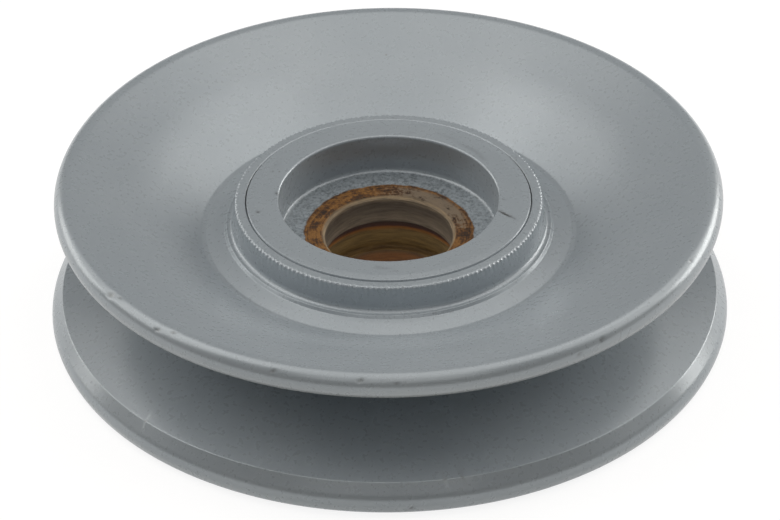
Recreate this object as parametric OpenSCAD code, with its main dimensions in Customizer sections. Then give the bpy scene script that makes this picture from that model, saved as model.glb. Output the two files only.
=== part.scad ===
// Single-groove V-belt pulley for a plain shaft. Two flanges pressed from steel sheet
// meet back to back at the bottom of the groove. A neck is drawn out of the middle of
// each one, and a turned steel hub sits in the two necks.
// The axis of the pulley is Z. z = 0 is the middle plane of the belt groove, and the
// front flange lies above it.

/* [Belt groove] */
// Outer diameter of the front flange
front_od = 104; // [98:0.5:116]
// Outer diameter of the rear flange
rear_od = 106; // [100:0.1:118]
// Included angle of the two belt faces, in degrees
groove_angle = 40; // [34:0.5:42]

/* [Pressed sheet] */
// Thickness of the sheet behind the belt face
sheet_t = 4.3; // [3.6:0.1:5]
// Radius inside which the drawing has thinned the sheet
web_r = 39.2; // [36:0.1:43]
// Radius of the soft bend at that place on the outer side
web_blend = 60; // [10:1:80]
// Middle radius of the trough around the neck, behind which the two flanges meet
trough_r = 28.9; // [28:0.1:31]
// Width of the flat floor of that trough
trough_w = 0.7; // [0.4:0.1:2]
// Thickness of the sheet under the trough
trough_t = 3.2; // [2.4:0.1:3.5]
// Slope of the sheet between the trough and the neck, in degrees
dish_slope = 17; // [12:0.5:24]
// Inside radius of the bends of the sheet
bend_r = 1; // [0.5:0.1:1.6]

/* [Necks] */
// Height of the open end of a neck above the middle plane
neck_h = 8.8; // [8:0.05:11]
// Wall of the neck at its open end, where the drawing has thinned it most
neck_wall = 1.75; // [1.2:0.05:2.4]
// Wall of the neck at its foot
foot_wall = 2.1; // [1.8:0.05:2.6]
// Width of the ledge that the drawing punch leaves around the foot
ledge_w = 0.95; // [0.7:0.05:1.3]
// Height of that ledge above the dished sheet
ledge_h = 0.35; // [0.1:0.05:0.5]
// Radius between the ledge and the wall of the neck
foot_fillet = 0.9; // [0.3:0.1:1.2]
// Edge radius at the open end of a neck
neck_edge = 0.3; // [0.1:0.05:0.5]

/* [Rear rim] */
// Height by which the lip of the rear flange stands out of its outer face
lip_rise = 1.9; // [1:0.1:6]
// Wall of the lip at its root
lip_wall = 4.4; // [3.8:0.1:6]
// Radius of the round that carries the rim from the belt face over its full diameter
lip_round = 2.3; // [1.8:0.1:2.8]
// Break of the crease between the belt face and that round, in degrees
lip_break = 12; // [4:1:24]
// Radius of that crease
lip_crease = 0.3; // [0.1:0.05:0.6]
// Taper of the rim between the round and the end of the lip, in degrees
lip_taper = 21; // [14:0.5:28]
// Edge radius at the end of the lip
lip_edge = 1.6; // [0.4:0.1:2]

/* [Hub] */
// Outer diameter of the hub
hub_od = 44.4; // [42:0.1:46]
// Height of the front face of the hub above the middle plane
hub_front = 9.15; // [8:0.05:12]
// Distance of the rear face of the hub below the middle plane
hub_rear = 11.2; // [10:0.1:12.5]
// Width of the shallow bevel around the front face
bevel_w = 1.3; // [0.3:0.1:1.8]
// Depth of that bevel at the outside of the hub
bevel_h = 0.45; // [0.2:0.05:0.8]
// Diameter of the recess for the nut and its washer
recess_d = 34.2; // [30:0.1:38]
// Depth of that recess
recess_h = 6.6; // [5:0.1:7]
// Radius in the corner of the recess floor
recess_fillet = 1.2; // [0.2:0.1:1.6]
// Rounding of the mouth of the recess
recess_edge = 0.4; // [0.1:0.05:0.8]

/* [Shaft bore] */
// Diameter of the shaft bore
bore_d = 20; // [16:0.1:24]
// Length of the front land of the bore, below its chamfer
front_land = 4.2; // [3:0.1:5]
// Length of the rear land of the bore, above its chamfer
rear_land = 3; // [2:0.1:4]
// Depth of the relief turned between the two lands
relief_depth = 1; // [0.5:0.1:2]
// Radius in the two corners of the relief
relief_fillet = 0.4; // [0.1:0.05:0.45]
// Chamfer at both ends of the bore and around the rear face
chamfer = 0.6; // [0.3:0.05:1]

/* [Fits] */
// Radial clearance between the hub and the necks
hub_fit = 0.05; // [0.02:0.01:0.15]

/* [Hidden] */

$fn = 128;
// Largest angle of one step along a rounded corner
arc_step = 12;

flank_slope = groove_angle / 2;
front_r = front_od / 2;
rear_r = rear_od / 2;
hub_r = hub_od / 2;
neck_r = hub_r + hub_fit;

// Where the sheet turns on its belt side: the flat ring on which the flanges meet
seam_in = trough_r - trough_w / 2 - trough_t * tan(dish_slope / 2);
seam_out = trough_r + trough_w / 2 + trough_t * tan(flank_slope / 2);

// Heights above the middle plane: the belt face, the outer face of the sheet behind it, and
// the outer face of the dished sheet between the trough and the neck
function belt_face(r) = (r - seam_out) * tan(flank_slope);
function outer_face(r) = belt_face(r) + sheet_t / cos(flank_slope);
function dish_face(r) = trough_t + (trough_r - trough_w / 2 - r) * tan(dish_slope);

// Slope of the thinned web on the outer side, and the bends that the floor of the trough has room for
web_slope = atan2(outer_face(web_r) - trough_t, web_r - trough_r - trough_w / 2);
trough_bend = min(bend_r, 0.9 * trough_w / (tan(dish_slope / 2) + tan(web_slope / 2)));

// Points of the arc that rounds the corner b of the path a, b, c
function round_corner(a, b, c, r) =
    let (u = (a - b) / norm(a - b),
         v = (c - b) / norm(c - b),
         half = acos(u * v) / 2,
         centre = b + (u + v) / norm(u + v) * r / sin(half),
         from = b + u * r / tan(half) - centre,
         to = b + v * r / tan(half) - centre,
         start = atan2(from.y, from.x),
         turn = atan2(cross(from, to), from * to),
         steps = max(2, ceil(abs(turn) / arc_step)))
    [for (i = [0:steps]) centre + r * [cos(start + turn * i / steps), sin(start + turn * i / steps)]];

// Closed outline from corners [radius, height, rounding]; a rounding of 0 leaves a sharp corner
function outline(corners) =
    let (n = len(corners),
         at = [for (c = corners) [c[0], c[1]]])
    [for (i = [0:n - 1])
        each corners[i][2] == 0
            ? [at[i]]
            : round_corner(at[(i + n - 1) % n], at[i], at[(i + 1) % n], corners[i][2])];

module revolved(corners) {
    rotate_extrude() polygon(outline(corners));
}

// Corners that both flanges share, on the belt side from the seam to the neck, then back out
// on the outer side of the sheet
function pressing() =
    let (neck_root = (seam_in - neck_r) * tan(dish_slope),
         ledge_r = neck_r + foot_wall + ledge_w,
         ledge_z = dish_face(ledge_r) + ledge_h)
    [[seam_out, 0, bend_r],
     [seam_in, 0, bend_r],
     [neck_r, neck_root, bend_r + foot_wall],
     [neck_r, neck_h, neck_edge],
     [neck_r + neck_wall, neck_h, neck_edge],
     [neck_r + foot_wall, ledge_z, min(foot_fillet, 0.9 * ledge_w)],
     [ledge_r, ledge_z, ledge_h / 2],
     [ledge_r + ledge_h, dish_face(ledge_r + ledge_h), ledge_h / 2],
     [trough_r - trough_w / 2, trough_t, trough_bend],
     [trough_r + trough_w / 2, trough_t, trough_bend],
     [web_r, outer_face(web_r), web_blend]];

// Front flange: the edge of the sheet is a full round
module front_flange() {
    round_r = sheet_t / 2;
    middle = [front_r - round_r, belt_face(front_r - round_r) + round_r / cos(flank_slope)];
    along = round_r * [cos(flank_slope), sin(flank_slope)];
    across = round_r * [-sin(flank_slope), cos(flank_slope)];
    outer_corner = middle + along + across;
    belt_corner = middle + along - across;
    rim = [
        [outer_corner.x, outer_corner.y, 0.98 * round_r],
        [belt_corner.x, belt_corner.y, 0.98 * round_r]];
    color("#9aa0a4") revolved(concat(pressing(), rim));
}

// Rear flange: the same pressing the other way up, with its edge turned down into a lip.
// The round of the rim lies in the ridge where the faces beside it would meet. It starts at
// the angle lean, half the radius of the crease away from the crease itself
module rear_flange() {
    root_r = rear_r - lip_wall;
    lip_z = outer_face(root_r) + lip_rise;
    lean = 90 - flank_slope - lip_break;
    centre_r = rear_r - lip_round;
    crease_r = centre_r + lip_round * cos(lean) - lip_crease / 2 * sin(lean);
    centre_z = belt_face(crease_r) + lip_round * sin(lean) + lip_crease / 2 * cos(lean);
    half = (lean + lip_taper) / 2;
    tilt = (lip_taper - lean) / 2;
    ridge = [centre_r, centre_z] + lip_round / cos(half) * [cos(tilt), sin(tilt)];
    end_r = ridge.x - (lip_z - ridge.y) * tan(lip_taper);
    end_w = end_r - root_r;
    taper_room = (lip_z - ridge.y) / cos(lip_taper) - lip_round * tan(half);
    edge_room = min(0.9 * taper_room, end_w / 2);
    rim = [
        [root_r, outer_face(root_r), min(bend_r, lip_rise / 2)],
        [root_r, lip_z, min(lip_edge, lip_rise / 3, end_w / 3)],
        [end_r, lip_z, min(lip_edge, edge_room / tan(45 - lip_taper / 2))],
        [ridge.x, ridge.y, lip_round],
        [crease_r, belt_face(crease_r), lip_crease]];
    color("#9aa0a4") mirror([0, 0, 1]) revolved(concat(pressing(), rim));
}

// Hub: a turned sleeve with a recess in front, and a bore relieved between two lands
module hub() {
    recess_r = recess_d / 2;
    bore_r = bore_d / 2;
    relief_r = bore_r + relief_depth;
    floor_z = hub_front - recess_h;
    relief_top = floor_z - chamfer - front_land;
    relief_bottom = chamfer + rear_land - hub_rear;
    color("#8f9598") revolved([
        [recess_r, hub_front, recess_edge],
        [recess_r, floor_z, recess_fillet],
        [bore_r + chamfer, floor_z, 0],
        [bore_r, floor_z - chamfer, 0],
        [bore_r, relief_top, 0],
        [relief_r, relief_top, relief_fillet],
        [relief_r, relief_bottom, relief_fillet],
        [bore_r, relief_bottom, 0],
        [bore_r, chamfer - hub_rear, 0],
        [bore_r + chamfer, -hub_rear, 0],
        [hub_r - chamfer, -hub_rear, 0],
        [hub_r, chamfer - hub_rear, 0],
        [hub_r, hub_front - bevel_h, 0],
        [hub_r - bevel_w, hub_front, 0]]);
}

front_flange();
rear_flange();
hub();
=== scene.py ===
import math

import bpy
import numpy as np
from mathutils import Matrix, Vector


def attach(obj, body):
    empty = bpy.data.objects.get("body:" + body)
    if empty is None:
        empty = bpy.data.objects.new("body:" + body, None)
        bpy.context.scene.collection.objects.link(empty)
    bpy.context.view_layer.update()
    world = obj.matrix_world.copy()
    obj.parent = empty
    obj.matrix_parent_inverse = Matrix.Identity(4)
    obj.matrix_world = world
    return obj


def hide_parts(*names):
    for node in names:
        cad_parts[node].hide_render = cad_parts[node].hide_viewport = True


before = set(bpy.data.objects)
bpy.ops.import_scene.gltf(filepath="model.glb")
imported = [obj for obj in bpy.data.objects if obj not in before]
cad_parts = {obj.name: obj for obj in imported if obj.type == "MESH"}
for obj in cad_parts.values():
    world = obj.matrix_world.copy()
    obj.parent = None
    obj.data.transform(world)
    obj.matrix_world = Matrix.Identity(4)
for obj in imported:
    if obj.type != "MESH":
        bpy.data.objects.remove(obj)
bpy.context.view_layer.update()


# REAR FLANGE
# A disc of 4 mm steel sheet, pressed into a dish with a trough and a drawn neck in the middle. Its
# edge is turned down into the lip that the pulley lies on, and it is sprayed with silver-grey enamel.
MM = 0.001

front_r, rear_r = 52.0, 53.0
flank_slope, dish_slope = 20.0, 17.0
sheet_t, trough_t = 4.3, 3.2
web_r, web_blend = 39.2, 60.0
trough_r, trough_w, bend_r = 28.9, 0.7, 1.0
neck_r, neck_h, neck_wall, foot_wall = 22.25, 8.8, 1.75, 2.1
ledge_w, ledge_h, foot_fillet, neck_edge = 0.95, 0.35, 0.855, 0.3
lip_rise, lip_wall, lip_edge, lip_crease = 1.9, 4.4, 2.0, 0.3
lip_run, lip_break, lip_taper, lip_draw = 1.7, 33.0, 21.0, 0.77


def tan(degrees):
    return math.tan(math.radians(degrees))


def cos(degrees):
    return math.cos(math.radians(degrees))


def sin(degrees):
    return math.sin(math.radians(degrees))


seam_in = trough_r - trough_w / 2 - trough_t * tan(dish_slope / 2)
seam_out = trough_r + trough_w / 2 + trough_t * tan(flank_slope / 2)


def belt_face(r):
    return (r - seam_out) * tan(flank_slope)


def outer_face(r):
    return belt_face(r) + sheet_t / cos(flank_slope)


def dish_face(r):
    return trough_t + (trough_r - trough_w / 2 - r) * tan(dish_slope)


def pressing():
    """Corners [radius, height, rounding] that both flanges share, in mm: from the seam at the bottom
    of the groove, up the neck, and back out on the outer side of the sheet."""
    ledge_r = neck_r + foot_wall + ledge_w
    ledge_z = dish_face(ledge_r) + ledge_h
    return [
        [seam_out, 0, bend_r],
        [seam_in, 0, bend_r],
        [neck_r, (seam_in - neck_r) * tan(dish_slope), bend_r + foot_wall],
        [neck_r, neck_h, neck_edge],
        [neck_r + neck_wall, neck_h, neck_edge],
        [neck_r + foot_wall, ledge_z, foot_fillet],
        [ledge_r, ledge_z, ledge_h / 2],
        [ledge_r + ledge_h, dish_face(ledge_r + ledge_h), ledge_h / 2],
        [trough_r - trough_w / 2, trough_t, 1.0],
        [trough_r + trough_w / 2, trough_t, 1.0],
        [web_r, outer_face(web_r), web_blend],
    ]


def section(corners, finest=0.22, longest=2.5, hold=0.15):
    """Closed outline in mm, with every corner rounded in steps of about finest. A point close to both
    ends of each straight run keeps the smooth shading flat along it."""
    arcs = []
    for i, (r, z, rounding) in enumerate(corners):
        here = np.array([r, z])
        before, after = (np.array(corners[(i + k) % len(corners)][:2]) - here for k in (-1, 1))
        u, v = before / np.linalg.norm(before), after / np.linalg.norm(after)
        half = math.acos(np.clip(u @ v, -1, 1)) / 2
        centre = here + (u + v) / np.linalg.norm(u + v) * rounding / math.sin(half)
        start, end = (here + w * rounding / math.tan(half) - centre for w in (u, v))
        turn = math.atan2(start[0] * end[1] - start[1] * end[0], start @ end)
        steps = min(36, max(4, math.ceil(abs(turn) * rounding / finest)))
        angles = math.atan2(start[1], start[0]) + turn * np.arange(steps + 1) / steps
        arcs.append(centre + rounding * np.stack([np.cos(angles), np.sin(angles)], 1))
    outline = []
    for i, arc in enumerate(arcs):
        run = arcs[(i + 1) % len(arcs)][0] - arc[-1]
        length = np.linalg.norm(run)
        inner = np.arange(0.0, 0.0)
        if length > 3 * hold:
            pieces = max(1, math.ceil(length / longest))
            inner = np.concatenate([[hold / length], np.arange(1, pieces) / pieces, [1 - hold / length]])
        outline += [*arc, *(arc[-1] + run * t for t in inner)]
    outline = np.array(outline)
    x, y = outline.T
    area = np.sum(x * np.roll(y, -1) - y * np.roll(x, -1))
    return outline if area > 0 else outline[::-1]


def knocks(marks, towards):
    """Small knocks and scratches in a turned surface. Each mark is its radius, height and angle, its
    length around the axis and its width along the section, its slant, its depth, and how dark it is.
    The surface gives way towards one point of the section. Returns the angles that each ring needs for
    them, and what moves the points of a ring."""
    places = []
    for r, z, angle, length, width, slant, depth, dark in marks:
        inward = np.array([towards[0] - r, towards[1] - z])
        inward /= np.linalg.norm(inward)
        places.append((r, z, angle, length, width, slant, depth, dark, inward))

    def from_mark(r, z, inward, ring_r, ring_z):
        """How far a ring lies from a mark, and how far of that is along the section."""
        return math.hypot(ring_r - r, ring_z - z), (ring_r - r) * -inward[1] + (ring_z - z) * inward[0]

    def angles_of(ring_r, ring_z):
        angles = [np.arange(0.0, 360.0)]
        for r, z, angle, length, width, slant, depth, dark, inward in places:
            away, side = from_mark(r, z, inward, ring_r, ring_z)
            if away < 2.2 * width:
                middle = angle - math.degrees(slant * side / ring_r)
                fine = np.degrees(np.linspace(-2, 2, 13) * length / ring_r)
                angles.append(np.round(middle + fine, 4) % 360)
        return np.unique(np.concatenate(angles))

    def shape(ring_r, ring_z, ring, radii, heights, worn, grime_and_shade):
        for r, z, angle, length, width, slant, depth, dark, inward in places:
            away, side = from_mark(r, z, inward, ring_r, ring_z)
            if away < 3 * width:
                around = np.radians((ring - angle + 180) % 360 - 180) * ring_r + slant * side
                press = np.exp(-(around / length) ** 2 - (side / width) ** 2)
                radii += press * depth * inward[0]
                heights += press * depth * inward[1]
                worn[:] = np.maximum(worn, press * dark)

    return angles_of, shape


def spun(name, outline, angles_of, shapes):
    """A piece turned about Z from a closed outline in mm. angles_of gives the angles, in degrees, of
    the points around one ring of it: every whole degree, and more where fine detail needs them. Each
    shape moves the points of a ring and says how worn they are, and how dark with scuffs and painted shade."""
    points, wear, dirt_and_shade, starts, rings, count = [], [], [], [], [], 0
    for r, z in outline:
        ring = angles_of(r, z)
        radii, heights = np.full(len(ring), r), np.full(len(ring), z)
        worn, grime_and_shade = np.zeros(len(ring)), np.zeros(len(ring))
        for shape in shapes:
            shape(r, z, ring, radii, heights, worn, grime_and_shade)
        turn = np.radians(ring)
        starts.append(count)
        rings.append(ring)
        points.append(np.stack([radii * np.cos(turn), radii * np.sin(turn), heights], 1) * MM)
        wear.append(worn)
        dirt_and_shade.append(grime_and_shade)
        count += len(ring)
    faces = []
    for i, ring in enumerate(rings):
        j = (i + 1) % len(rings)
        at_i = [*np.searchsorted(ring, np.arange(0, 360)), len(ring)]
        at_j = [*np.searchsorted(rings[j], np.arange(0, 360)), len(rings[j])]
        for k in range(360):
            low = [starts[i] + n % len(ring) for n in range(at_i[k], at_i[k + 1] + 1)]
            high = [starts[j] + n % len(rings[j]) for n in range(at_j[k], at_j[k + 1] + 1)]
            if len(low) == len(high):
                faces += [(low[n], low[n + 1], high[n + 1], high[n]) for n in range(len(low) - 1)]
            else:
                faces.append((*low, *reversed(high)))
    mesh = bpy.data.meshes.new(name)
    mesh.from_pydata(np.concatenate(points).tolist(), [], faces)
    for kind, values in (("worn", wear), ("grime_and_shade", dirt_and_shade)):
        field = mesh.attributes.new(kind, "FLOAT", "POINT")
        field.data.foreach_set("value", np.concatenate(values).astype(np.float32))
    mesh.shade_smooth()
    piece = bpy.data.objects.new(name, mesh)
    bpy.context.scene.collection.objects.link(piece)
    return piece


def linear(hex_colour):
    """sRGB hex to the linear colour that a shader takes."""
    channels = [int(hex_colour[i:i + 2], 16) / 255 for i in (1, 3, 5)]
    return (*(c / 12.92 if c <= 0.04045 else ((c + 0.055) / 1.055) ** 2.4 for c in channels), 1)


def add_node(tree, kind, inputs=None, **settings):
    """Adds one node with its settings. An input is a value, or the socket that feeds it."""
    made = tree.nodes.new(kind)
    for key, value in settings.items():
        setattr(made, key, value)
    for key, value in (inputs or {}).items():
        if isinstance(value, bpy.types.NodeSocket):
            tree.links.new(value, made.inputs[key])
        else:
            made.inputs[key].default_value = value
    return made


def sprayed_enamel(tree, place):
    """The sprayed coat that the flanges and the hub share: a slow drift of tone, fine dark pits where
    grit has settled, a few larger specks, and a faint orange peel. Returns colour, gloss and normal."""
    drift = add_node(tree, "ShaderNodeTexNoise", {"Vector": place, "Scale": 1 / (16 * MM), "Detail": 3.0})
    tone = add_node(tree, "ShaderNodeMix", {
        "Factor": drift.outputs["Fac"], "A": linear("#97a0a7"), "B": linear("#a3abb1")}, data_type="RGBA")
    peel = add_node(tree, "ShaderNodeTexNoise", {"Vector": place, "Scale": 1 / (0.9 * MM), "Detail": 4.0})
    cloud = add_node(tree, "ShaderNodeTexNoise", {"Vector": place, "Scale": 1 / (7 * MM), "Detail": 4.0})
    flecks = add_node(tree, "ShaderNodeTexNoise", {
        "Vector": place, "Scale": 1 / (0.45 * MM), "Detail": 2.0, "Roughness": 0.5, "Distortion": 1.0})
    wide = add_node(tree, "ShaderNodeVectorMath", {0: place, 1: (1, 1, 0)}, operation="MULTIPLY")
    out_from_axis = add_node(tree, "ShaderNodeVectorMath", {0: wide.outputs["Vector"]}, operation="LENGTH")
    near_trough = add_node(tree, "ShaderNodeMapRange", {
        "Value": out_from_axis.outputs["Value"], "From Min": 45 * MM, "From Max": 34 * MM,
        "To Min": 0.08, "To Max": 0.55})
    gathered = add_node(tree, "ShaderNodeMapRange", {
        "Value": cloud.outputs["Fac"], "From Min": 0.3, "From Max": 0.7, "To Min": -0.035, "To Max": 0.035})
    fleck_at = add_node(tree, "ShaderNodeMath", {
        0: flecks.outputs["Fac"], 1: gathered.outputs["Result"]}, operation="ADD")
    pit = add_node(tree, "ShaderNodeMapRange", {
        "Value": fleck_at.outputs[0], "From Min": 0.66, "From Max": 0.75,
        "To Max": near_trough.outputs["Result"]})
    specks = add_node(tree, "ShaderNodeTexVoronoi", {"Vector": place, "Scale": 1 / (3.4 * MM)})
    speck_pick = add_node(tree, "ShaderNodeSeparateColor", {"Color": specks.outputs["Color"]})
    speck_wide = add_node(tree, "ShaderNodeMapRange", {
        "Value": speck_pick.outputs["Red"], "From Min": 0.82, "To Min": 0.0, "To Max": 0.06})
    speck_in = add_node(tree, "ShaderNodeMath", {
        0: speck_wide.outputs["Result"], 1: specks.outputs["Distance"]}, operation="SUBTRACT")
    speck = add_node(tree, "ShaderNodeMapRange", {
        "Value": speck_in.outputs[0], "From Min": -0.015, "From Max": 0.025, "To Max": 0.7})
    pitted = add_node(tree, "ShaderNodeMix", {
        "Factor": pit.outputs["Result"], "A": tone.outputs["Result"],
        "B": linear("#6b7073")}, data_type="RGBA")
    specked = add_node(tree, "ShaderNodeMix", {
        "Factor": speck.outputs["Result"], "A": pitted.outputs["Result"],
        "B": linear("#5a5753")}, data_type="RGBA")
    gloss = add_node(tree, "ShaderNodeMapRange", {
        "Value": peel.outputs["Fac"], "From Min": 0.3, "From Max": 0.7, "To Min": 0.27, "To Max": 0.285})
    skin = add_node(tree, "ShaderNodeBump", {
        "Strength": 0.03, "Distance": 0.02 * MM, "Height": peel.outputs["Fac"]})
    dimples = add_node(tree, "ShaderNodeBump", {
        "Strength": 0.15, "Distance": 0.05 * MM, "Height": pit.outputs["Result"],
        "Normal": skin.outputs["Normal"]}, invert=True)
    return specked.outputs["Result"], gloss.outputs["Result"], dimples.outputs["Normal"]


# Sprayed silver-grey enamel over pressed steel: aluminium flake gives it a soft silvery sheen that
# brightens towards the light. Chips show dull steel, and painted shade darkens the joint around the hub.
enamel = bpy.data.materials.new("silver_grey_enamel")
enamel.use_nodes = True
tree = enamel.node_tree
tree.nodes.clear()
place = add_node(tree, "ShaderNodeTexCoord").outputs["Object"]
coat, gloss, skin = sprayed_enamel(tree, place)
worn = add_node(tree, "ShaderNodeAttribute", attribute_name="worn")
chipped = add_node(tree, "ShaderNodeMix", {
    "Factor": worn.outputs["Fac"], "A": coat, "B": linear("#4a4844")}, data_type="RGBA")
# Painted shade: this attribute darkens the joint around the hub towards near-black.
grime_and_shade = add_node(tree, "ShaderNodeAttribute", attribute_name="grime_and_shade")
grimed_and_shaded = add_node(tree, "ShaderNodeMix", {
    "Factor": grime_and_shade.outputs["Fac"], "A": chipped.outputs["Result"], "B": linear("#231f1a")}, data_type="RGBA")
shader = add_node(tree, "ShaderNodeBsdfPrincipled", {
    "Base Color": grimed_and_shaded.outputs["Result"], "Roughness": gloss, "Metallic": 0.25, "IOR": 1.5, "Normal": skin})
add_node(tree, "ShaderNodeOutputMaterial", {"Surface": shader.outputs["BSDF"]})

root_r = rear_r - lip_wall
lip_z = outer_face(root_r) + lip_rise
# The rim: a crease in the belt face, a conical band out to the full diameter, and a taper to its end
crease_r = rear_r - lip_run
shoulder_z = belt_face(crease_r) + lip_run * tan(flank_slope + lip_break)
shoulder_round, taper_round = 2.6, 1.8
rear_corners = pressing() + [
    [root_r, outer_face(root_r), lip_rise / 2],
    [root_r, lip_z, lip_rise / 3],
    [rear_r - lip_draw, lip_z, lip_edge],
    [rear_r, lip_z - lip_draw / tan(lip_taper), taper_round],
    [rear_r, shoulder_z, shoulder_round],
    [crease_r, belt_face(crease_r), lip_crease],
]
rear_outline = section([[r, -z, rounding] for r, z, rounding in rear_corners])
# Two chips in the crease, one more around to the left, and a scratch on the lip below them
crease_chips = [
    [crease_r, -belt_face(crease_r), -81, 0.28, 0.20, 0.3, 0.07, 0.6],
    [crease_r, -belt_face(crease_r), -78, 0.20, 0.24, -0.6, 0.08, 0.6],
    [crease_r, -belt_face(crease_r), -137, 0.18, 0.18, 0.0, 0.05, 0.5],
    [rear_r - 0.1, -11.6, -87, 0.10, 0.50, 0.75, 0.06, 0.7],
]
rear_angles, rear_knocks = knocks(crease_chips, (root_r, -shoulder_z))
rear_flange = spun("rear_flange_pressing", rear_outline, rear_angles, [rear_knocks])
rear_flange.data.materials.append(enamel)
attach(rear_flange, "root")
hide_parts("rear_flange")


# FRONT FLANGE
# The same pressing the other way up, with the edge of the sheet rolled to a full round. The top of its
# neck was sheared off, which left a row of small, even scallops around the outer edge.
round_r = sheet_t / 2
bead = np.array([front_r - round_r, belt_face(front_r - round_r) + round_r / cos(flank_slope)])
along = round_r * np.array([cos(flank_slope), sin(flank_slope)])
across_sheet = round_r * np.array([-sin(flank_slope), cos(flank_slope)])
front_corners = pressing() + [
    [*(bead + along + across_sheet), 0.98 * round_r],
    [*(bead + along - across_sheet), 0.98 * round_r],
]
front_outline = section(front_corners)
# Knocks along the round of the rim: angle around the axis, angle on the round, and length
rim_knocks = [
    (-146, 55, 0.7), (-144, 70, 0.35), (-133, 45, 0.45), (-130, 65, 0.4), (-110, 40, 0.45),
    (-95, 45, 0.45), (-89, 35, 0.3), (-57, 10, 0.35), (-52, 30, 0.4), (-25, 65, 0.35),
]
front_angles, front_knocks = knocks([
    [bead[0] + round_r * cos(on_round), bead[1] + round_r * sin(on_round), angle,
     length, 0.7 * length, 0.5, 0.28 * length, 0.5]
    for angle, on_round, length in rim_knocks], bead)
# Scallops of the sheared edge: pitch in degrees, and where they are and how far they reach, in mm
tick_pitch, shear_r, shear_reach = 2.0, neck_r + neck_wall, 0.6


def sheared_edge(r, z):
    return abs(r - shear_r) < 0.55 and neck_h - shear_reach < z < neck_h + 0.01


def neck_angles(r, z):
    if not sheared_edge(r, z):
        return front_angles(r, z)
    return np.arange(0, 360, tick_pitch / 10)


def neck_ticks(r, z, ring, radii, heights, worn, grime_and_shade):
    if sheared_edge(r, z):
        phase = ring / tick_pitch
        tick = np.floor(phase)
        uneven = 0.7 + 0.3 * np.sin(tick * 2.4) * np.cos(tick * 0.37)
        bite = (0.04 + 0.18 * np.abs(np.sin(np.pi * phase))) * uneven
        near = max(0.0, 1 - math.hypot(r - shear_r, z - neck_h) / shear_reach)
        radii -= bite * near
        heights -= bite * near


def joint_shade(r, z, ring, radii, heights, worn, grime_and_shade):
    """Painted shade in the joint around the hub: dark where it is open at the left and the right, faint
    between, where it is full of paint.
    """
    if abs(r - neck_r) < 0.06 and z > neck_h - 1.2:
        for middle, reach in ((170, 26), (16, 30), (30, 8)):
            off = np.abs((ring - middle + 180) % 360 - 180) / reach
            grime_and_shade[:] = np.maximum(grime_and_shade, np.clip(1.6 - 1.6 * off, 0, 1))


front_flange = spun(
    "front_flange_pressing", front_outline, neck_angles, [front_knocks, neck_ticks, joint_shade])
front_flange.data.materials.append(enamel)
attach(front_flange, "root")
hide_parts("front_flange")


# HUB
# A sleeve turned from steel bar that sits in both necks, with a recess for a washer and a nut. It was
# sprayed with the flanges, and where the washer and the shaft kept the paint off it has rusted.
hub_r, hub_front, hub_rear = 22.2, 9.15, 11.2
bevel_w, bevel_h, bevel_round = 1.3, 0.45, 2.0
recess_r, recess_h, recess_fillet, recess_edge = 17.1, 6.6, 0.7, 0.4
bore_r, front_land, rear_land, relief_depth, relief_fillet, chamfer = 10.0, 4.2, 3.0, 1.0, 0.4, 0.6
washer_r = 13.25
floor_z = hub_front - recess_h
land_top = floor_z - chamfer
relief_top = land_top - front_land
relief_bottom = chamfer + rear_land - hub_rear
broken_edge = 0.1
hub_outline = section([
    [recess_r, hub_front, recess_edge],
    [recess_r, floor_z, recess_fillet],
    [bore_r + chamfer, floor_z, broken_edge],
    [bore_r, floor_z - chamfer, broken_edge],
    [bore_r, relief_top, broken_edge],
    [bore_r + relief_depth, relief_top, relief_fillet],
    [bore_r + relief_depth, relief_bottom, relief_fillet],
    [bore_r, relief_bottom, broken_edge],
    [bore_r, chamfer - hub_rear, broken_edge],
    [bore_r + chamfer, -hub_rear, broken_edge],
    [hub_r - chamfer, -hub_rear, broken_edge],
    [hub_r, chamfer - hub_rear, broken_edge],
    [hub_r, hub_front - bevel_h, broken_edge],
    [hub_r - 0.1 * bevel_w, hub_front - 0.5 * bevel_h, broken_edge],
    [hub_r - bevel_w, hub_front, bevel_round],
], longest=0.4)
# A deep scratch across the front face, and small chips beside the mouth of the recess
hub_angles, hub_knocks = knocks([
    [18.7, hub_front, -15, 0.24, 1.5, 0.52, 0.16, 1.0],
    [20.6, hub_front, -170, 0.25, 0.25, 0.0, 0.08, 0.8],
    [17.5, hub_front, 175, 0.35, 0.25, 0.0, 0.06, 0.6],
    [17.9, hub_front, -3, 0.12, 0.30, 0.4, 0.05, 0.5],
], (19, -100))


def face_marks_and_joint_shade(r, z, ring, radii, heights, worn, grime_and_shade):
    """Scuffs from fingers and tools on the front face, and painted shade in the joint around it."""
    if z > hub_front - 0.02:
        for mark_r, angle, length, width, dark in (
            (19.3, -92, 1.1, 0.22, 0.22), (18.9, -95, 0.6, 0.30, 0.20), (19.9, -87.5, 0.5, 0.16, 0.30),
            (18.6, 45, 2.6, 0.35, 0.20), (19.2, 60, 1.6, 0.25, 0.16), (18.2, 36, 0.9, 0.25, 0.18),
            (18.4, 79, 0.5, 0.20, 0.18), (19.8, 152, 1.2, 0.3, 0.10),
        ):
            around = np.radians((ring - angle + 180) % 360 - 180) * r / length
            grime_and_shade += dark * np.exp(-around ** 2 - ((r - mark_r) / width) ** 2)
    # Painted shade on the hub's wall in the joint with the neck.
    if r > hub_r - 0.03 and z > neck_h - 1.2:
        joint_shade(neck_r, z, ring, radii, heights, worn, grime_and_shade)


hub = spun("hub_sleeve", hub_outline, hub_angles, [hub_knocks, face_marks_and_joint_shade])
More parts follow.
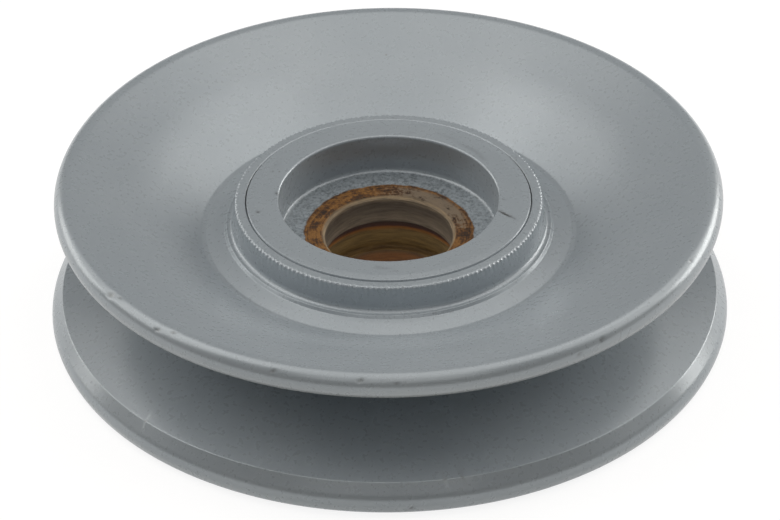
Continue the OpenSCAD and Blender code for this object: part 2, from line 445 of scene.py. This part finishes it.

# The same enamel over turned steel, mottled on the floor of the recess. Inside the ring that the washer
# covered the steel is bare: orange-brown rust in turning rings, greyer where the washer has rubbed it,
# a dull brown land at the mouth of the bore, and the relief behind it, near-black brown at its top and
# rust lower down, with a painted highlight line across it.
hub_finish = bpy.data.materials.new("enamel_over_rusted_steel")
hub_finish.use_nodes = True
tree = hub_finish.node_tree
tree.nodes.clear()
place = add_node(tree, "ShaderNodeTexCoord").outputs["Object"]
coat, gloss, skin = sprayed_enamel(tree, place)
spot = add_node(tree, "ShaderNodeVectorMath", {0: place, "Scale": 1 / MM}, operation="SCALE")
axes = add_node(tree, "ShaderNodeSeparateXYZ", {"Vector": spot.outputs["Vector"]})
flat = add_node(tree, "ShaderNodeCombineXYZ", {"X": axes.outputs["X"], "Y": axes.outputs["Y"]})
radius = add_node(tree, "ShaderNodeVectorMath", {
    0: flat.outputs["Vector"]}, operation="LENGTH").outputs["Value"]
heading = add_node(tree, "ShaderNodeVectorMath", {
    0: flat.outputs["Vector"]}, operation="NORMALIZE").outputs["Vector"]
height = axes.outputs["Z"]
blotch = add_node(tree, "ShaderNodeTexNoise", {
    "Vector": place, "Scale": 1 / (2.2 * MM), "Detail": 5.0, "Roughness": 0.6}).outputs["Fac"]
grain = add_node(tree, "ShaderNodeTexNoise", {
    "Vector": place, "Scale": 1 / (0.45 * MM), "Detail": 4.0, "Roughness": 0.65}).outputs["Fac"]
# Turning rings: noise that changes quickly with radius and height and slowly around the axis
rings_per_mm, swing_around = 2.6, 3.0
lift = add_node(tree, "ShaderNodeMath", {0: height, 1: rings_per_mm}, operation="MULTIPLY")
swing = add_node(tree, "ShaderNodeVectorMath", {0: heading, "Scale": swing_around}, operation="SCALE")
raised = add_node(tree, "ShaderNodeCombineXYZ", {"Z": lift.outputs[0]})
track = add_node(tree, "ShaderNodeVectorMath", {
    0: swing.outputs["Vector"], 1: raised.outputs["Vector"]}, operation="ADD")
reach_out = add_node(tree, "ShaderNodeMath", {0: radius, 1: rings_per_mm}, operation="MULTIPLY")
turning = add_node(tree, "ShaderNodeTexNoise", {
    "Vector": track.outputs["Vector"], "W": reach_out.outputs[0], "Scale": 1.0, "Detail": 4.0,
    "Roughness": 0.65}, noise_dimensions="4D").outputs["Fac"]

# Mottled paint on the floor of the recess
low = add_node(tree, "ShaderNodeMapRange", {
    "Value": height, "From Min": floor_z + 0.16, "From Max": floor_z + 0.06, "To Max": 0.7})
patchy = add_node(tree, "ShaderNodeMapRange", {"Value": grain, "From Min": 0.44, "From Max": 0.64})
mottle = add_node(tree, "ShaderNodeMath", {
    0: low.outputs["Result"], 1: patchy.outputs["Result"]}, operation="MULTIPLY")
mottled = add_node(tree, "ShaderNodeMix", {
    "Factor": mottle.outputs[0], "A": coat, "B": linear("#4f565a")}, data_type="RGBA")

# Bare steel inside the washer's ring, with a ragged edge
ragged = add_node(tree, "ShaderNodeMapRange", {"Value": blotch, "To Min": -0.5, "To Max": 0.5})
edge_r = add_node(tree, "ShaderNodeMath", {0: radius, 1: ragged.outputs["Result"]}, operation="ADD")
bare = add_node(tree, "ShaderNodeMapRange", {
    "Value": edge_r.outputs[0], "From Min": washer_r + 0.12, "From Max": washer_r - 0.12}).outputs["Result"]
rust_coarse = add_node(tree, "ShaderNodeMath", {0: turning, 1: blotch}, operation="ADD")
rust_mix = add_node(tree, "ShaderNodeMath", {0: rust_coarse.outputs[0], 1: grain}, operation="ADD")
rust = add_node(tree, "ShaderNodeValToRGB", {
    "Fac": add_node(tree, "ShaderNodeMapRange", {
        "Value": rust_mix.outputs[0], "From Min": 1.22, "From Max": 1.8}).outputs["Result"]})
for stop, colour in ((0.0, "#26180b"), (0.28, "#482d12"), (0.52, "#6b461c"), (0.8, "#8a622e")):
    knot = rust.color_ramp.elements[0] if stop == 0.0 else rust.color_ramp.elements.new(stop)
    knot.color = linear(colour)
rust.color_ramp.elements[-1].color = linear("#6a441d")
# The side where the washer rubbed the rust away, back and to the right
rub_angle = 48
side = add_node(tree, "ShaderNodeVectorMath", {
    0: heading, 1: (cos(rub_angle), sin(rub_angle), 0)}, operation="DOT_PRODUCT")
rub = add_node(tree, "ShaderNodeMath", {0: side.outputs["Value"], 1: rust_mix.outputs[0]}, operation="ADD")
rub_in = add_node(tree, "ShaderNodeMapRange", {
    "Value": radius, "From Min": washer_r - 0.3, "From Max": washer_r - 1.0})
rub_far = add_node(tree, "ShaderNodeMapRange", {
    "Value": rub.outputs[0], "From Min": 2.22, "From Max": 2.40, "To Max": 0.85})
rubbed = add_node(tree, "ShaderNodeMath", {
    0: rub_far.outputs["Result"], 1: rub_in.outputs["Result"]}, operation="MULTIPLY")
ring_floor = add_node(tree, "ShaderNodeMix", {
    "Factor": rubbed.outputs[0], "A": rust.outputs["Color"], "B": linear("#766b5c")}, data_type="RGBA")
# Down the bore, by height: chamfer, front land, undercut, relief and rear land
depth = add_node(tree, "ShaderNodeMath", {0: height, 1: turning}, operation="ADD")
bore = add_node(tree, "ShaderNodeValToRGB", {
    "Fac": add_node(tree, "ShaderNodeMapRange", {
        "Value": depth.outputs[0], "From Min": -hub_rear, "From Max": floor_z + 0.5}).outputs["Result"]})
# The orange stop at -3.5 mm is a painted highlight line across the relief wall. The near-black stops above it
# make the top of the relief darker.
bore_tones = (
    (-hub_rear, "#805429"), (relief_bottom - 0.4, "#8a5a2b"), (relief_bottom + 0.3, "#6e5330"),
    (-6.6, "#8a7040"), (-4.6, "#957b48"), (-3.9, "#8d7343"), (-3.5, "#b0732f"), (-3.1, "#4f2813"),
    (relief_top, "#3a2013"), (relief_top + 0.5, "#6e6152"), (relief_top + 1.0, "#948776"),
    (0.2, "#7a6e5f"), (land_top - 0.3, "#665b4e"), (land_top + 0.3, "#8a7c6a"),
)
for n, (at, colour) in enumerate(bore_tones):
    stop = (at + hub_rear) / (floor_z + 0.5 + hub_rear)
    knot = bore.color_ramp.elements[0] if n == 0 else bore.color_ramp.elements.new(stop)
    knot.color = linear(colour)
bore.color_ramp.elements[-1].color = linear("#a08a68")
streak = add_node(tree, "ShaderNodeMapRange", {
    "Value": turning, "From Min": 0.35, "From Max": 0.7, "To Min": 0.62, "To Max": 1.25})
streaked = add_node(tree, "ShaderNodeVectorMath", {
    0: bore.outputs["Color"], "Scale": streak.outputs["Result"]}, operation="SCALE")
in_bore = add_node(tree, "ShaderNodeMapRange", {
    "Value": height, "From Min": floor_z - 0.05, "From Max": floor_z - 0.35})
rear_face = add_node(tree, "ShaderNodeMath", {0: height, 1: 0.05 - hub_rear}, operation="GREATER_THAN")
in_bore_only = add_node(tree, "ShaderNodeMath", {
    0: in_bore.outputs["Result"], 1: rear_face.outputs[0]}, operation="MULTIPLY")
bare_steel = add_node(tree, "ShaderNodeMix", {
    "Factor": in_bore_only.outputs[0], "A": ring_floor.outputs["Result"],
    "B": streaked.outputs["Vector"]}, data_type="RGBA")
finish = add_node(tree, "ShaderNodeMix", {
    "Factor": bare, "A": mottled.outputs["Result"], "B": bare_steel.outputs["Result"]}, data_type="RGBA")
worn = add_node(tree, "ShaderNodeAttribute", attribute_name="worn")
chipped = add_node(tree, "ShaderNodeMix", {
    "Factor": worn.outputs["Fac"], "A": finish.outputs["Result"], "B": linear("#3d3a37")}, data_type="RGBA")
# This attribute darkens the scuffs on the front face, and gives the painted shade in the joint around the
# hub.
grime_and_shade = add_node(tree, "ShaderNodeAttribute", attribute_name="grime_and_shade")
grimed_and_shaded = add_node(tree, "ShaderNodeMix", {
    "Factor": grime_and_shade.outputs["Fac"], "A": chipped.outputs["Result"], "B": linear("#231f1a")}, data_type="RGBA")
dull = add_node(tree, "ShaderNodeMapRange", {"Value": grain, "To Min": 0.55, "To Max": 0.8})
gloss_mix = add_node(tree, "ShaderNodeMix", {"Factor": bare, "A": gloss, "B": dull.outputs["Result"]})
metal = add_node(tree, "ShaderNodeMapRange", {"Value": bare, "To Min": 0.25, "To Max": 0.12})
scale_up = add_node(tree, "ShaderNodeMath", {0: grain, 1: bare}, operation="MULTIPLY")
flaky = add_node(tree, "ShaderNodeBump", {
    "Strength": 0.5, "Distance": 0.12 * MM, "Height": scale_up.outputs[0], "Normal": skin})
ridges = add_node(tree, "ShaderNodeMath", {0: turning, 1: bare}, operation="MULTIPLY")
turned = add_node(tree, "ShaderNodeBump", {
    "Strength": 0.6, "Distance": 0.15 * MM, "Height": ridges.outputs[0], "Normal": flaky.outputs["Normal"]})
shader = add_node(tree, "ShaderNodeBsdfPrincipled", {
    "Base Color": grimed_and_shaded.outputs["Result"], "Roughness": gloss_mix.outputs["Result"],
    "Metallic": metal.outputs["Result"], "IOR": 1.5, "Normal": turned.outputs["Normal"]})
add_node(tree, "ShaderNodeOutputMaterial", {"Surface": shader.outputs["BSDF"]})
hub.data.materials.append(hub_finish)
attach(hub, "root")
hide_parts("hub")


# STUDIO
# A white table with soft boxes above and around it, most of them behind the pulley, so that the two
# sides of its dish catch the light. The camera looks down on it from the front through a long lens.
floor_mesh = bpy.data.meshes.new("table")
reach = 6.0
table_corners = [(-reach, -reach, 0), (reach, -reach, 0), (reach, reach, 0), (-reach, reach, 0)]
floor_mesh.from_pydata(table_corners, [], [(0, 1, 2, 3)])
table = bpy.data.objects.new("table", floor_mesh)
table.location.z = -lip_z * MM
bpy.context.scene.collection.objects.link(table)
# Matt white card, a little warm: it shows as white, and keeps a faint shadow under the part
card = bpy.data.materials.new("white_card")
card.use_nodes = True
tree = card.node_tree
tree.nodes.clear()
rays = add_node(tree, "ShaderNodeLightPath")
seen = add_node(tree, "ShaderNodeMath", {
    0: rays.outputs["Is Camera Ray"], 1: rays.outputs["Is Glossy Ray"]}, operation="MAXIMUM")
seen_all = add_node(tree, "ShaderNodeMath", {
    0: seen.outputs[0], 1: rays.outputs["Is Transmission Ray"]}, operation="MAXIMUM")
matt = add_node(tree, "ShaderNodeBsdfDiffuse", {"Color": linear("#e9e3d9")})
faint = add_node(tree, "ShaderNodeBsdfDiffuse", {"Color": linear("#7c7c7c")})
glow = add_node(tree, "ShaderNodeEmission", {"Color": linear("#ffffff"), "Strength": 0.86})
lit = add_node(tree, "ShaderNodeAddShader", {0: faint.outputs["BSDF"], 1: glow.outputs["Emission"]})
shown = add_node(tree, "ShaderNodeMixShader", {
    0: seen_all.outputs[0], 1: matt.outputs["BSDF"], 2: lit.outputs["Shader"]})
add_node(tree, "ShaderNodeOutputMaterial", {"Surface": shown.outputs["Shader"]})
floor_mesh.materials.append(card)

world = bpy.data.worlds.new("studio")
bpy.context.scene.world = world
world.use_nodes = True
tree = world.node_tree
tree.nodes.clear()
room = add_node(tree, "ShaderNodeBackground", {"Color": linear("#eaf2ff"), "Strength": 0.085})
add_node(tree, "ShaderNodeOutputWorld", {"Surface": room.outputs["Background"]})

for name, place_m, size_m, watts in (
    ("overhead_box", (0, 0.10, 1.30), (1.00, 1.20), 5.0),
    ("left_box", (-0.95, 0.15, 1.05), (0.90, 1.20), 6.5),
    ("right_box", (0.95, 0.15, 1.05), (0.90, 1.20), 4.5),
    ("left_strip", (-0.76, 0.76, 0.90), (0.45, 1.00), 1.5),
    ("right_strip", (0.76, 0.76, 0.90), (0.45, 1.00), 1.8),
    ("low_left_box", (-1.05, 0.70, 0.35), (0.80, 0.50), 3.5),
    ("low_right_box", (1.05, 0.70, 0.35), (0.80, 0.50), 7.0),
    ("front_box", (0, -0.80, 1.10), (1.20, 0.80), 2.3),
):
    lamp = bpy.data.lights.new(name, "AREA")
    lamp.shape = "RECTANGLE"
    lamp.size, lamp.size_y = size_m
    lamp.energy = watts
    lamp.color = linear("#fffaf3")[:3]
    soft_box = bpy.data.objects.new(name, lamp)
    soft_box.location = place_m
    soft_box.rotation_euler = (-Vector(place_m)).to_track_quat("-Z", "Y").to_euler()
    bpy.context.scene.collection.objects.link(soft_box)

elevation, roll, distance_mm, rim_mm, aim_mm = 34.324, -0.627, 1040, (0, 0, 9.58), (0.12, -5.69, 1.25)
camera_data = bpy.data.cameras.new("camera")
camera_data.sensor_width = 36
camera_data.lens = 308.7
camera = bpy.data.objects.new("camera", camera_data)
stand_mm = Vector(rim_mm) + distance_mm * Vector((0, -cos(elevation), sin(elevation)))
camera.location = stand_mm * MM
look = (Vector(aim_mm) - stand_mm).to_track_quat("-Z", "Y").to_matrix()
camera.rotation_euler = (look @ Matrix.Rotation(math.radians(roll), 3, "Z")).to_euler()
camera_data.clip_start, camera_data.clip_end = 0.05, 20
bpy.context.scene.collection.objects.link(camera)
bpy.context.scene.camera = camera
bpy.context.scene.view_settings.view_transform = "Standard"
